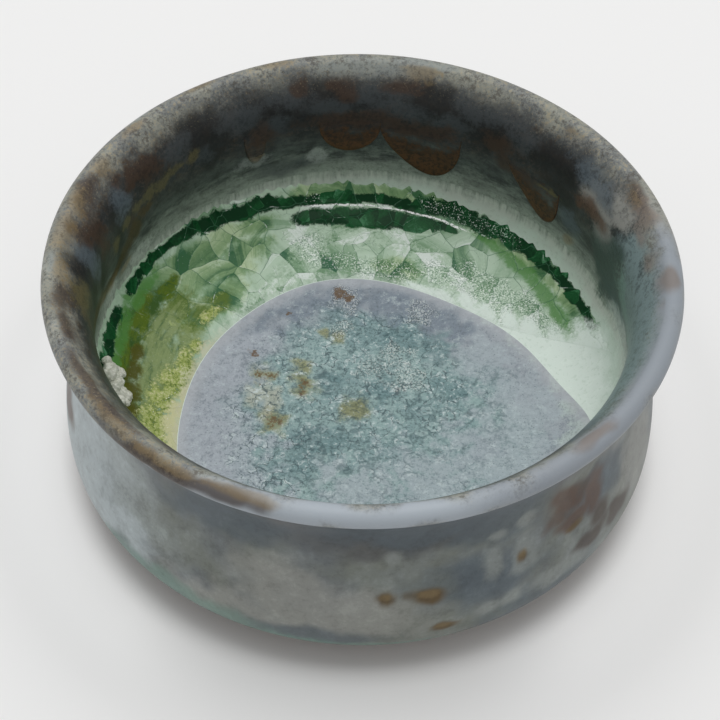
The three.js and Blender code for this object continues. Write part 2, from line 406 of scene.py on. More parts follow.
# Strokes of each brush: angle round the cup in degrees, distance from the crest of the lip in
# millimetres, minus outside and plus inside, and half the width and height in millimetres
strokes = {
    "haze": [
        (9, 7.6, 5, 3), (2, 10, 6, 5), (352, 9, 9, 8), (340, 6, 10, 6), (13, 18.4, 5, 3), (330, 10, 10, 8),
    ],
    "drab": [
        (268, -21.5, 9, 4.5), (258, -18, 6, 5), (337, -18, 5, 6), (326, -9, 4, 3), (246, -24, 7, 3),
        (27, 6.6, 3, 2.2), (23, 9.6, 2.6, 2.4), (12, 0.4, 5, 1), (20, 4.4, 3, 1.6),
    ],
    "shadow": [(275, -8.8, 9, 2.4), (286, -9, 7, 2), (271, -11, 2.6, 1.4)],
    # Lilac and lavender strokes: partly the glaze's colour, partly a painted sheen on the lip
    "lilac": [(274, -0.2, 19, 2.1), (253, -1.4, 9, 1.7), (226, -3, 9, 1.4), (214, -3.4, 8, 1.6)],
    "lavender_sheen": [(316, 0, 13, 2.6), (336, 0.4, 12, 2.6), (355, 1, 8, 1.8)],
    # Painted sheen over the silver-blue glaze on the left side of the outside
    "silver_sheen": [(190, -17.6, 22, 13), (220, -22, 7, 4)],
    "night": [
        (131, 4.8, 3, 1.6), (128, 8.8, 1.8, 2.8), (131, 7, 3, 2), (100, 5.5, 4, 1.8), (110, 8.4, 5, 2),
        (76, 6.2, 3, 2), (62, 7.6, 5, 2.4), (40, 7, 4, 2), (39, 10.2, 3.5, 2), (161, 12.5, 1.4, 5),
        (171, 11.5, 1.5, 4), (180, 8, 2, 6), (92, 6.4, 5, 1.4), (116, 6.4, 4, 1.8),
    ],
    "dim": [
        (138, 6.4, 2.4, 1.8), (121, 6.4, 3.6, 2.2), (109, 6, 3, 1.8), (100, 7.4, 3, 1), (88, 5.6, 4, 1.4),
        (66, 5.8, 3.4, 1.6), (52, 6.8, 3, 1.6), (112, 9.4, 3, 1.2), (83, 8, 4, 1.2), (70, 8.8, 3, 1.4),
        (58, 5, 3, 1.2), (130, 9.8, 2, 1), (108, 17.2, 5, 1.4),
    ],
    "blue": [
        (175, 6.4, 1.8, 3.2), (157.5, 7.4, 1.8, 2.8), (31, 5.2, 4, 1.4), (36, 14, 2.4, 2), (281, -7, 11, 3),
        (297, -9, 7, 4), (294, -18, 7, 4), (305, -26, 8, 3), (322, -14, 6, 4), (244, -9, 8, 3),
        (261, -25.4, 8, 1.8),
    ],
    "pine": [
        (19, 14, 3.8, 4.6), (17, 11, 2.6, 3), (23, 17, 2, 2.4), (20, 18.8, 2.4, 2.4), (12, 15.6, 2, 2.4),
    ],
    "umber": [
        (147, 6.2, 2.4, 1.6), (116, 10.6, 2.2, 1.8), (164, 2.8, 2.8, 1.6), (156, 3.4, 2.4, 1.4),
        (96, 4.6, 2, 1.6), (106, 4.4, 1.4, 1.2), (82, 4.6, 2.5, 1.2), (172, 4, 1.4, 2), (19, 1.8, 2.4, 1),
        (167, 6.4, 1.8, 3), (156, 11.9, 1.2, 1.4), (57, 9, 3.5, 1.6), (190, 3, 3, 1.6), (199, 2, 3, 1.2),
        (150, 5.6, 2, 1.6), (97, 9.8, 4.5, 1.6), (89, 10, 4, 1.8), (80, 10.6, 4.5, 1.4), (72, 11, 3, 1.4),
        (55, 11.5, 2.4, 1.2), (50, 12, 2.6, 1.4), (246, -0.6, 4.5, 1), (234, -0.6, 7, 1.3),
        (216, 1.2, 6, 0.8), (316, -11.4, 2, 2), (322, -20, 1.8, 2.4), (318, -22, 2.6, 1.2),
        (328, -22, 2.4, 1.6),
    ],
    "teal": [
        (238, -26, 9, 2.2), (228, -27, 8, 2), (250, -27.4, 10, 1.6), (260, -27.4, 8, 1.2),
        (274, -27.8, 8, 1), (350, 14, 8, 4), (6, 13, 4, 3),
    ],
    "mauve": [
        (11, 3.9, 2, 1.4), (3, 3.9, 1.8, 1.3), (357, 1.4, 1.8, 1.2), (350, 3, 1.6, 1), (15, 2, 3, 1.4),
        (314, 1, 2.6, 0.8),
    ],
    "chalk": [
        (2, 19.6, 5, 2), (10, 20, 5, 2), (350, 19.5, 8, 2.4), (152, 18.8, 3, 1), (166, 18.6, 3, 0.8),
        (101, 16, 1.6, 1.6),
    ],
    "pale": [
        (277, -11.6, 1.2, 1.1), (297, -11.6, 1, 0.9), (295, -15.6, 1.3, 1.9), (299, -22.8, 1.5, 1.1),
        (294, -23.2, 1.5, 1), (307, -22.8, 1.8, 1), (303, -16.5, 2.1, 2.5), (303, -11.2, 1.2, 1.2),
        (117.5, 14.8, 2, 1.1), (311, -23.4, 3, 1.8), (101, 16.2, 2, 1.8), (166, 0.6, 1.2, 0.5),
        (174, 0.8, 1.4, 0.6), (182, 0.6, 1.6, 0.5), (140, 0.2, 2, 0.4), (95, 2.2, 4, 0.8), (86, 2, 4, 0.8),
        (78, 1, 5, 0.7),
    ],
    "rust": [(312, -11.8, 3, 3), (314, -16, 2.4, 1.4), (320, -15, 2, 3), (28, 8.9, 3, 1.5)],
    "toffee": [
        (150, 11.6, 2, 0.8), (154, 13.3, 1.6, 1.4), (157, 15, 1.6, 1.2), (160, 16.2, 1.8, 1),
        (164, 16.8, 2, 0.9), (168, 16.6, 2, 1), (172, 15.6, 2, 1.2), (176, 14.8, 2, 1.6),
        (181, 14.2, 2.2, 1.8), (187, 13.6, 2.6, 2),
    ],
    "olive": [
        (134, 9, 1.3, 0.8), (141, 9.3, 1.6, 0.7), (148, 10, 1.8, 1), (153, 10.2, 1.3, 0.8),
        (158, 10.8, 1.1, 1), (163, 11.8, 0.9, 2), (187, 6.4, 3, 2.4), (144, 10.3, 1.6, 1),
        (43, 11.7, 2, 0.4),
    ],
    "ochre": [
        (158, 18.2, 1.4, 0.7), (166, 17.6, 2.2, 0.8), (172, 16.6, 1.8, 0.8), (116.5, 13.9, 1, 0.5),
        (36, 18.2, 0.9, 1.1), (174, 1.6, 2.4, 1.2), (167, 1.6, 1.8, 1), (155, 1.5, 2, 0.9),
        (144, 1.2, 2.4, 0.6), (125, 0.6, 2.4, 0.5), (110, 0.8, 2.6, 0.6), (80, 2.2, 2.8, 0.7),
        (42, 2.5, 1.6, 0.8), (19, 2.4, 1.6, 0.6), (184, 1.6, 2.6, 1), (250, 0.2, 3.4, 0.7),
        (236, 0.2, 4, 0.6), (222, 0.4, 3.4, 0.6), (283, -18.2, 1, 0.6), (276, -18.2, 0.6, 0.7),
        (286, -24.1, 0.8, 0.4), (302, -16.6, 0.6, 0.8),
    ],
    "amber": [
        (276, -18.5, 1.1, 1.2), (283, -18.5, 1.6, 1.2), (286, -24.2, 1.4, 0.7), (302, -16.9, 0.7, 1),
        (314, -17.4, 1.4, 0.7),
    ],
}

# Spots on the far side and inside the near wall, scattered like those that show in front
scatter = random.Random(11)
for angle in range(10, 180, 9):
    spot = scatter.choice(["pale", "pale", "amber", "blue"])
    size = scatter.uniform(0.8, 1.6)
    strokes[spot].append((angle + scatter.uniform(-4, 4), scatter.uniform(-25, -9), size, size * 1.2))
for angle in range(40, 200, 38):
    strokes["rust"].append((angle, scatter.uniform(-20, -9), 3.4, 2.6))
for angle in range(205, 325, 14):
    spot = scatter.choice(["umber", "blue", "ochre", "umber"])
    strokes[spot].append((angle, scatter.uniform(4, 10), scatter.uniform(1.5, 3), scatter.uniform(1, 2.4)))


def direction_out(i):
    """Direction away from the clay at a point of its outline."""
    if i == mark["middle"]:
        return up
    tangent = shell[i + 1] - shell[max(i - 1, 0)]
    return Vector((tangent.z, 0, -tangent.x)).normalized()


away = [direction_out(i) for i in range(len(shell))]
glazed = [point + lift * coat for point, lift in zip(shell, away)]
travelled = [0]
for here, there in zip(glazed, glazed[1:]):
    travelled.append(travelled[-1] + (there - here).length)
travelled = [length - travelled[mark["crest"]] for length in travelled]
face_finder = kdtree.KDTree(len(glazed))
for i, point in enumerate(glazed):
    face_finder.insert(point, i)
face_finder.balance()


def store(piece, name, values, kind="FLOAT", key="value"):
    """Keep a number or a direction for each point of a piece, where its material can read it."""
    layer = piece.data.attributes.new(name, kind, "POINT")
    layer.data.foreach_set(key, np.asarray(values, dtype=np.float32).ravel())


def dabbed(weight, across, along):
    """Add a dab to what is painted already: 1 inside it, 0.5 at its edge and 0 beyond."""
    return np.maximum(weight, np.clip(dab_reach - np.hypot(across, along), 0, 1))


def brushed(piece, angles, heights, strokes, looseness):
    """Store the strokes of each brush on a piece, with edges that stray a little."""
    astray = []
    for vertex in piece.data.vertices:
        place = vertex.co / blot_size
        astray.append((noise.noise_vector(place) + noise.noise_vector(place * 3) / 2) * looseness)
    astray = np.array(astray)
    for brush, places in strokes.items():
        weight = np.zeros(len(angles))
        for angle, height, half_width, half_height in places:
            turn = (angles - angle + 180) % 360 - 180
            across = np.radians(turn) * neck_radius / mm + astray[:, 0] * min(half_width, stray_reach)
            along = heights - height + astray[:, 1] * min(half_height, stray_reach)
            weight = dabbed(weight, across / half_width, along / half_height)
        store(piece, brush, weight)


def measured(piece):
    """Angle round the cup of each point in degrees, and its distance from the crest in millimetres."""
    angles = []
    heights = []
    for vertex in piece.data.vertices:
        angles.append(math.degrees(math.atan2(vertex.co.y, vertex.co.x)))
        outline_point = at(math.hypot(vertex.co.x, vertex.co.y), vertex.co.z)
        heights.append(travelled[face_finder.find(outline_point)[1]] / mm)
    store(piece, "travel", heights)
    return np.array(angles), np.array(heights)


def coated(name, start, end):
    """One coat of glaze between two places on the clay, painted with the strokes."""
    face = glazed[mark[start]:mark[end] + 1]
    back = shell[mark[start]:mark[end] + 1]
    piece = turned(name, [*face, *reversed(back)])
    brushed(piece, *measured(piece), strokes, wall_looseness)
    made_by_hand(piece)
    return piece


def wall_glaze(piece, name):
    """Clouded satin glaze: slate and sage outside, grit on the lip, soot and ash inside, painted shade and
    sheen.
    """
    shader, place = finish(piece, name)
    shader.inputs["Specular IOR Level"].default_value = wall_specular
    travel = place.stored("travel")
    broad = place.clouds(13 * mm, 3)
    patchy = place.moved((0.1, 0.2, 0)).clouds(5 * mm, 6, 0.65)
    ragged = place.moved((0, 0.3, 0.1)).clouds(1.7 * mm, 8, 0.72)
    fine = place.clouds(0.5 * mm, 4, 0.75)
    grit = place.moved((0.2, 0, 0.1)).clouds(0.24 * mm, 2, 0.6)
    brushing = place.stretched((0.3, 0.3, 1)).clouds(1.3 * mm, 5, 0.65)

    outside = broad.between(0.38, 0.6).blend(slate, sage)
    outside = (patchy.between(0.42, 0.66) * 0.4).blend(outside, mist)
    # Painted shade: the outside turns darker just under the lip, where the flared lip shades the neck
    outside = (travel + (patchy - 0.5) * 14).between(*under_lip_shade_zone).blend(outside, under_lip_shade)

    lip = patchy.between(0.42, 0.58).blend(stone, dove)
    lip = ((ragged * 0.5 + fine * 0.5).between(0.5, 0.4) * 0.5).blend(lip, bark)
    lip = ((ragged * 0.3 + fine * 0.7).between(0.5, 0.62) * 0.6).blend(lip, sand)

    upper = patchy.between(0.4, 0.6).blend(soot, midnight)
    upper = (ragged.between(0.48, 0.6) * 0.7).blend(upper, cocoa)
    upper = (fine.between(0.52, 0.66) * 0.45).blend(upper, bark)

    lower = (brushing * 0.6 + ragged * 0.4).between(0.38, 0.62).blend(smoke, ash)

    wander = (ragged - 0.5) * 4 + (patchy - 0.5) * 6
    colour = (travel + wander).between(*lip_zone).blend(outside, lip)
    colour = (travel + wander).between(*soot_zone).blend(colour, upper)
    colour = (travel + wander * 0.5).between(*ash_zone).blend(colour, lower)
    colour = (travel + (brushing - 0.5) * 8).between(*fog_zone).blend(colour, fog)
    loose = travel.between(*loose_zone)
    # No grit where the lilac and lavender sheen is painted
    rough = loose * (1 - place.stored("lilac").most(place.stored("lavender_sheen")))
    blots = ((ragged - 0.5) * 1.6 + (fine - 0.5) * 1.1) * (0.08 + 0.92 * rough) + (patchy - 0.5) * 0.3
    for brush, (brush_colour, soft, cover) in brushes.items():
        edge = place.stored(brush).worn(blots, 0.5 - soft, 0.5 + soft)
        colour = (edge * cover).blend(colour, brush_colour)
    shaded = colour.tint(1, grain_shade)
    colour = ((fine * 0.6 + ragged * 0.4).between(0.53, 0.4) * rough * 0.7).blend(colour, shaded)
    colour = (grit.between(0.58, 0.74) * rough * travel.between(*grit_zone) * 0.4).blend(colour, sand)
    cloudy = patchy * 0.35 + ragged * 0.45 + fine * 0.2
    colour = (cloudy.between(0.5, 0.4) * (1 - loose) * 0.45).blend(colour, shaded)
    colour = (cloudy.between(0.5, 0.6) * (1 - loose) * 0.5).blend(colour, colour.tint(1, grain_light))
    colour.feed(shader, "Base Color")
    (0.3 + 0.24 * ragged).feed(shader, "Roughness")
    relief = (ragged * 0.5 + fine * 0.3 + grit * 0.15) * (0.3 + 0.7 * loose)
    relief.bump(0.12 * mm, 0.45).feed(shader, "Normal")
    return shader, place, colour


outer_coat = coated("outer_coat", "glaze line", "band start")
wall_glaze(outer_coat, "outer glaze")
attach(outer_coat, "root")
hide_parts("outer_glaze")

# Lip coat: the same glaze where it thins over the edge of the lip. There it burns to a gritty ochre
# at the back and left, and runs smooth and lilac at the front and right. That lilac is partly its own
# colour and partly a painted sheen.
lip_coat = coated("lip_coat", "band start", "band end")
wall_glaze(lip_coat, "lip glaze")
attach(lip_coat, "root")
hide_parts("rim_glaze")

# Wall coat: the same glaze on the inside of the wall. It is dark and mottled under the lip, with rust,
# blue and olive in it, and an ashy satin below.
wall_coat = coated("wall_coat", "band end", "white line")
wall_glaze(wall_coat, "wall glaze")
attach(wall_coat, "root")
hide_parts("inner_glaze")

# White coat: a milky white glaze that lines the turn between wall and floor. It shows as a cream line
# above the glass and as a bare white slope at the right.
disc_centre = Vector((1.3, -6.4, 0)) * mm
disc_radius = 25.2 * mm

# Where the disc's edge swells or draws in: angle and spread in degrees, and height in millimetres
disc_swells = [(103, 24, 1.5), (176, 30, -1.3), (62, 18, -0.5), (0, 16, 2.8)]
white_rows = 300
white_columns = 46
cream = (0.52, 0.57, 0.5, 1)
milk = (0.75, 0.85, 0.78, 1)
mint = (0.56, 0.68, 0.58, 1)
milk_shade = (0.8, 0.84, 0.8, 1)
cream_zone = (19, 21.5)
mint_zone = (20.5, 23.5)
milk_zone = (22.5, 27)


def disc_edge(angle):
    """Distance from the disc's own centre to its uneven edge."""
    radius = disc_radius
    for middle, spread, height in disc_swells:
        turn = (math.degrees(angle) - middle + 180) % 360 - 180
        radius += height * mm * math.exp(-((turn / spread) ** 2))
    return radius


@lru_cache(None)
def disc_reach(angle):
    """Distance from the cup's axis to the disc's edge."""
    ray = Vector((math.cos(angle), math.sin(angle), 0))
    reach = disc_radius
    for _ in range(8):
        offset = ray * reach - disc_centre
        reach += disc_edge(math.atan2(offset.y, offset.x)) - offset.length
    return reach


def place_where(key, value):
    """Distance from the crest at which the inside has come down to a height, or in to a radius."""
    for i in range(mark["crest"] + 1, len(glazed)):
        if glazed[i][key] < value:
            share = (glazed[i - 1][key] - value) / (glazed[i - 1][key] - glazed[i][key])
            return travelled[i - 1] + (travelled[i] - travelled[i - 1]) * share
    return travelled[-1]


def inside(distance, angle, lift):
    """Point on the inside of the glaze at a distance from the crest, raised from it by a height."""
    i = bisect_left(travelled, distance)
    i = min(max(i, 1), len(travelled) - 1)
    share = (distance - travelled[i - 1]) / (travelled[i] - travelled[i - 1])
    point = glazed[i - 1].lerp(glazed[i], share) + away[i - 1].lerp(away[i], share).normalized() * lift
    return Vector((point.x * math.cos(angle), point.x * math.sin(angle), point.z))


def patch(name, rows, columns, place_at):
    """A thin solid: a grid laid on its seat, closed where its edges meet, and raised to its face."""
    bpy.ops.object.select_all(action="DESELECT")
    bpy.ops.mesh.primitive_grid_add(x_subdivisions=rows, y_subdivisions=columns, size=1)
    piece = bpy.context.object
    piece.name = name
    shares = [(vertex.co.x + 0.5, vertex.co.y + 0.5, 0) for vertex in piece.data.vertices]
    store(piece, "share", shares, "FLOAT_VECTOR", "vector")
    for vertex, share in zip(piece.data.vertices, shares):
        vertex.co = place_at(share[0], share[1], False)
    bpy.ops.object.mode_set(mode="EDIT")
    bpy.ops.mesh.select_all(action="SELECT")
    bpy.ops.mesh.remove_doubles(threshold=mm / 1000)
    bpy.ops.mesh.extrude_region()
    bpy.ops.object.mode_set(mode="OBJECT")
    for vertex, share in zip(piece.data.vertices, piece.data.attributes["share"].data):
        if vertex.select:
            vertex.co = place_at(share.vector[0], share.vector[1], True)
    bpy.ops.object.mode_set(mode="EDIT")
    bpy.ops.mesh.select_all(action="SELECT")
    bpy.ops.mesh.normals_make_consistent(inside=False)
    bpy.ops.object.mode_set(mode="OBJECT")
    return piece


def white_place(round_share, across, raised):
    angle = 2 * math.pi * round_share
    top = travelled[mark["white line"]]
    foot = place_where(0, disc_reach(angle))
    return inside(top + (foot - top) * across, angle, 0 if raised else -coat)


white_coat = patch("white_coat", white_rows, white_columns, white_place)
brushed(white_coat, *measured(white_coat), strokes, wall_looseness)
made_by_hand(white_coat)
shader, place, colour = wall_glaze(white_coat, "white glaze")
travel = place.stored("travel") - place.stored("pine") * 3
broad = place.clouds(7 * mm, 3)
ragged = place.clouds(2 * mm, 4)
fine = place.clouds(0.5 * mm, 4)
feather = place.stretched((1, 1, 0.12)).clouds(0.6 * mm, 4, 0.6)
colour = (travel + (feather - 0.5) * 6).between(*cream_zone).blend(colour, cream)
colour = (travel + (broad - 0.5) * 6).between(*mint_zone).blend(colour, mint)
colour = (travel + (broad - 0.5) * 6 + (ragged - 0.5) * 3).between(*milk_zone).blend(colour, milk)
colour = (fine.between(0.54, 0.66) * 0.6).blend(colour, colour.tint(1, milk_shade))
colour.feed(shader, "Base Color")
(0.16 + 0.2 * ragged).feed(shader, "Roughness")
(ragged + fine * 0.3).bump(0.1 * mm, 0.4).feed(shader, "Normal")
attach(white_coat, "root")
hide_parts("white_glaze")

# Crystal disc: a lilac-grey glaze dropped on the floor that grew turquoise crystals as it cooled.
# The largest crystals are low rings with a dark outline, and ochre and pale grit lie among them.
disc_rows = 400
disc_columns = 64
disc_rim = 2.2 * mm
crystal_size = 3 * mm
crystal_height = 0.09 * mm
disc_slate = (0.36, 0.4, 0.44, 1)
disc_turquoise = (0.32, 0.45, 0.44, 1)
disc_sea = (0.22, 0.335, 0.34, 1)
disc_ice = (0.62, 0.71, 0.71, 1)
disc_ink = (0.06, 0.1, 0.11, 1)
disc_salt = (0.7, 0.72, 0.68, 1)
disc_line = (0.5, 0.52, 0.55, 1)
disc_shade = (0.42, 0.46, 0.48, 1)
disc_specular = 0.25
disc_drift = 1.8 * mm
disc_bend = 1.7 * mm

# Patches on the disc: colour, how well it covers, and place and size of each patch in millimetres
disc_patches = {
    "lilac": ((0.41, 0.45, 0.5, 1), 0.75, [
        (-20, -6, 6), (-18, -14, 7), (-17, 3, 4), (-10, -23, 6), (-15, -9, 4), (-14, 8, 3),
    ]),
    "violet": ((0.18, 0.225, 0.275, 1), 0.75, [
        (-13, 11.6, 2.4), (-9, 14, 2.6), (-5, 16, 3), (0, 16.5, 3.2), (5, 15.6, 3.4), (10, 13.4, 2.8),
        (13, 11.5, 1.8), (16.6, -8.6, 1.8),
    ]),
    # A painted sheen: pale pewter over the right of the disc, which also washes out its mottle and cracks
    "pewter_sheen": ((0.4, 0.46, 0.495, 1), 0.8, [
        (16, 6, 3.4), (20.6, -1, 5), (18, -9, 7), (9, -13, 5), (0, -15, 4.5), (20, -17, 6), (9, -20, 6),
        (3, -25, 5),
    ]),
    "deep": ((0.15, 0.255, 0.265, 1), 0.8, [
        (-6, -9, 2.8), (-3.5, -7, 2.4), (-4, 1.8, 2), (3, 0, 2), (10, 8.4, 2.4), (11.7, 1, 2.6),
        (-0.5, -2.6, 2), (5, 10, 2),
    ]),
    "yellow": ((0.28, 0.285, 0.13, 1), 0.85, [
        (-3, 9.6, 1), (-12.2, 3.1, 1.4), (-7.8, 4.4, 1.3), (-7.4, 0.9, 1.6), (-10.9, -4.8, 1.9),
        (-0.5, -2.5, 1.9), (-5, 10.4, 0.8),
    ]),
    "sandy": ((0.46, 0.475, 0.38, 1), 0.75, [(-12.5, -0.9, 1.9), (-11.4, -2.6, 1.4)]),
    "grit": ((0.08, 0.1, 0.095, 1), 0.6, [
        (1.5, 4.9, 2.6), (6, 2.9, 2.2), (-3, 11, 1.4), (4, 7, 2), (-2, 16.5, 2.4), (8, 14, 2),
    ]),
    "ochre": ((0.13, 0.07, 0.022, 1), 0.85, [
        (-2.9, 16.9, 1.3), (-9.6, 13.6, 0.6), (-14.2, 6.2, 0.8), (-12.2, 3.1, 1.4), (-7.4, 0.9, 1.1),
        (-10.9, -5, 1.2),
    ]),
    "mint": ((0.5, 0.585, 0.555, 1), 0.8, [
        (17.4, 13.6, 1.2), (20.6, 10.6, 1.5), (23.6, 7, 1.7), (26, 3, 1.9), (28, -2, 2.2), (28.8, -7, 2.2),
    ]),
    "rings": ((0.1, 0.165, 0.175, 1), 0.55, [
        (4, -8, 5), (-3, -9, 5), (9, -4, 4), (-8, 7.4, 2), (-4, 1.8, 2.4), (12, 7, 2), (15, -4, 3),
    ]),
}


def disc_place(round_share, across, raised):
    angle = 2 * math.pi * round_share
    level = disc_centre + Vector((math.cos(angle), math.sin(angle), 0)) * disc_edge(angle) * across
    distance = place_where(0, level.length)
    crystal = noise.voronoi(level / crystal_size)[0]
    bead = math.sin(math.pi * min(crystal[1] - crystal[0], 1))
    rise = crystal_height * bead * min((1 - across) * disc_radius / disc_rim, 1)
    return inside(distance, math.atan2(level.y, level.x), rise if raised else -coat)


disc = patch("crystal_disc", disc_rows, disc_columns, disc_place)
places = np.array([vertex.co for vertex in disc.data.vertices]) / mm
drift = np.array([noise.noise_vector(vertex.co / disc_drift) for vertex in disc.data.vertices])
edge_distance = []
for vertex in disc.data.vertices:
    offset = vertex.co - disc_centre
    edge_distance.append((disc_edge(math.atan2(offset.y, offset.x)) - offset.xy.length) / mm)
store(disc, "from_edge", edge_distance)
for name, (*_, spots) in disc_patches.items():
    weight = np.zeros(len(places))
    for x, y, size in spots:
        weight = dabbed(weight, *((places[:, :2] - (x, y)) / size + drift[:, :2]).T)
    store(disc, name, weight)
made_by_hand(disc)
shader, place = finish(disc, "crystal glaze")
from_edge = place.stored("from_edge")
broad = place.clouds(8 * mm, 3)
ragged = place.moved((0.3, 0, 0)).clouds(2.2 * mm, 8, 0.7)
fine = place.clouds(0.5 * mm, 4, 0.75)
specks = place.moved((0, 0.2, 0)).clouds(0.2 * mm, 2)
bent = place.moved(place.clouds(1.1 * mm, 3, 0.6).beside("Color").stretched((disc_bend, disc_bend, 0)))
rings = bent.cells(2.4 * mm)
flakes = bent.moved((0.05, 0.02, 0)).cells(0.9 * mm, result="Color")
flake_tone = flakes.node("SeparateColor", {}, {"Color": flakes}, "Red")
flake_edge = bent.moved((0.05, 0.02, 0)).cells(1.5 * mm, "DISTANCE_TO_EDGE")


def disc_mask(name, mix, low, high):
    return place.stored(name).worn(mix, low, high) * disc_patches[name][1]


centre = (broad * 0.5 + ragged * 0.5).between(0.42, 0.58).blend(disc_turquoise, disc_sea)
bloom = (from_edge + (broad - 0.5) * 12 + (ragged - 0.5) * 10).between(3.4, 9.5)
colour = bloom.blend(disc_slate, centre)
for name in ("lilac", "violet", "pewter_sheen", "deep", "yellow", "sandy", "mint"):
    colour = disc_mask(name, (ragged - 0.5) * 2.4 + (fine - 0.5), 0, 1).blend(colour, disc_patches[name][0])
mottle = flake_tone * 0.14 + ragged * 0.5 + fine * 0.8
# Less mottle where the sheen is painted
contrast = (0.5 + 0.5 * bloom) * (1 - place.stored("pewter_sheen") * 0.5)
colour = (mottle.between(0.72, 0.56) * contrast).blend(colour, colour.tint(1, disc_shade))
colour = (mottle.between(0.75, 0.91) * contrast * 0.85).blend(colour, disc_ice)
ring_mask = disc_mask("rings", (ragged - 0.5) * 3, 0.2, 0.9) * fine.between(0.3, 0.46)
colour = (rings.between(0.24, 0.3) * rings.between(0.4, 0.34) * ring_mask * 0.35).blend(colour, disc_ice)
outline = rings.between(0.36, 0.43) * rings.between(0.54, 0.47)
colour = (outline.most(rings.between(0.16, 0.04)) * ring_mask).blend(colour, disc_patches["rings"][0])
cracks = flake_edge.between(0.055, 0.01) * ragged.between(0.45, 0.55) * bloom
# Fewer cracks where the sheen is painted
cracks *= 1 - place.stored("pewter_sheen") * 0.8
colour = (cracks * 0.85).blend(colour, disc_ink)
colour = (specks.between(0.4, 0.28) * 0.6).blend(colour, disc_ink)
grit_mask = disc_mask("grit", (ragged - 0.5) * 3, 0.2, 0.8)
colour = (grit_mask * specks.between(0.49, 0.4)).blend(colour, disc_patches["grit"][0])
colour = (grit_mask * specks.between(0.53, 0.62)).blend(colour, disc_salt)
ochre_mask = disc_mask("ochre", (fine - 0.5) * 3 + (ragged - 0.5) * 3, 0.6, 1)
colour = ochre_mask.blend(colour, disc_patches["ochre"][0])
colour = ((from_edge + (ragged - 0.5) * 3).between(2.2, 0) * 0.6).blend(colour, disc_line)
colour.feed(shader, "Base Color")
(0.26 + 0.3 * fine).feed(shader, "Roughness")
shader.inputs["Specular IOR Level"].default_value = disc_specular
(fine * 0.5 + flake_tone * 0.25 + specks * 0.2).bump(0.16 * mm, 0.7).feed(shader, "Normal")
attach(disc, "root")
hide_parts("floor_glaze")

# Glass crescent: thick green glass that ran down the wall and pooled in the turn, then crackled into
# plates as it cooled. Its upper edge broke into teeth, and towards the disc it turns to white frost.
glass_from = math.radians(8)
glass_to = math.radians(245)
glass_height = 13.2 * mm
glass_lean = 1.6 * mm
glass_depth = 1.7 * mm
glass_edge = 0.015 * mm
glass_to_disc = 0.08 * mm
glass_horn = 0.02
horn_angle = math.radians(28)
glass_rows = 560
glass_columns = 56
tooth_size = 1.7 * mm
tooth_length = 0.9 * mm
tooth_reach = 5
glass_seat = 0.01 * mm
plate_tilt = 0.12 * mm

# The crackle is laid out in millimetres: along the crescent at one radius, and down from its upper edge
glass_radius = 29
plate_size = 4
shard_size = 1.9
hairline_size = 2
glass_bend = 2.4

bottle = (0.006, 0.04, 0.014, 1)
emerald = (0.012, 0.088, 0.027, 1)
jade = (0.06, 0.21, 0.095, 1)
sea_green = (0.2, 0.34, 0.25, 1)
deep_green = (0.05, 0.15, 0.08, 1)
sage_green = (0.21, 0.35, 0.21, 1)
celadon = (0.48, 0.62, 0.48, 1)
# Pale frost of the glass, also used for the sheen painted on the plates
frost_and_sheen = (0.74, 0.82, 0.76, 1)
snow = (0.95, 0.97, 0.95, 1)
moss = (0.1, 0.16, 0.018, 1)
leaf = (0.09, 0.25, 0.06, 1)
fern = (0.21, 0.27, 0.085, 1)
fir = (0.05, 0.11, 0.025, 1)
warm = (1, 0.97, 0.78, 1)
lime = (0.36, 0.43, 0.13, 1)
butter = (0.6, 0.6, 0.34, 1)
ivory = (0.6, 0.6, 0.44, 1)
peat = (0.085, 0.085, 0.014, 1)
glass_specular = 0.06
glass_looseness = 0.4

